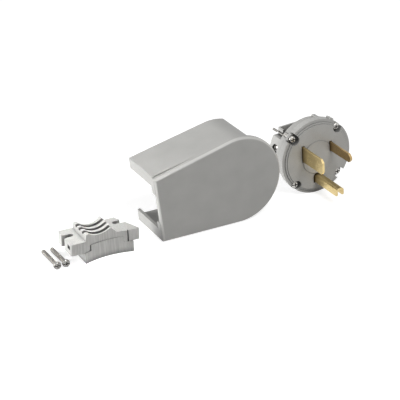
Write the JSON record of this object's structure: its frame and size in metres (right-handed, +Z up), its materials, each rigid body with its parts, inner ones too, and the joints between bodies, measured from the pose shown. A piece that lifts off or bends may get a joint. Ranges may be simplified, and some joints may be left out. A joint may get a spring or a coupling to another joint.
{
  "type": "electrical plug",
  "caption": "Right-angle power plug taken apart in a row: loose clamp screws, cord clamp, hollow teardrop cover and round plug body with flat blades and a U-shaped ground pin.",
  "frame": {"origin": "centre of the base of the whole row, on the surface it lies on", "axes": "+X along the row from the clamp screws to the plug body, -Y the way the blades and the fronts face, +Z up"},
  "size_m": [0.2416, 0.061, 0.0648],
  "materials": {
    "grey_moulding": "fine matt",
    "brass": "bright, slightly toned",
    "zinc_steel": "zinc plated"
  },
  "bodies": {
    "root": {"cover": "grey_moulding", "clamp_saddle": "grey_moulding", "clamp_base": "grey_moulding", "clamp_screws": "zinc_steel", "face_plate": "grey_moulding", "rear_body": "grey_moulding", "wide_blade": "brass", "narrow_blade": "brass", "ground_pin": "brass", "terminal_screws": "zinc_steel", "face_plate_screws": "zinc_steel", "bonding_strap": "zinc_steel", "wide_terminal_frame": "brass", "wide_pressure_plate": "brass", "narrow_terminal_frame": "brass", "narrow_pressure_plate": "brass", "ground_terminal_frame": "brass", "ground_pressure_plate": "brass"}
  },
  "joints": []
}
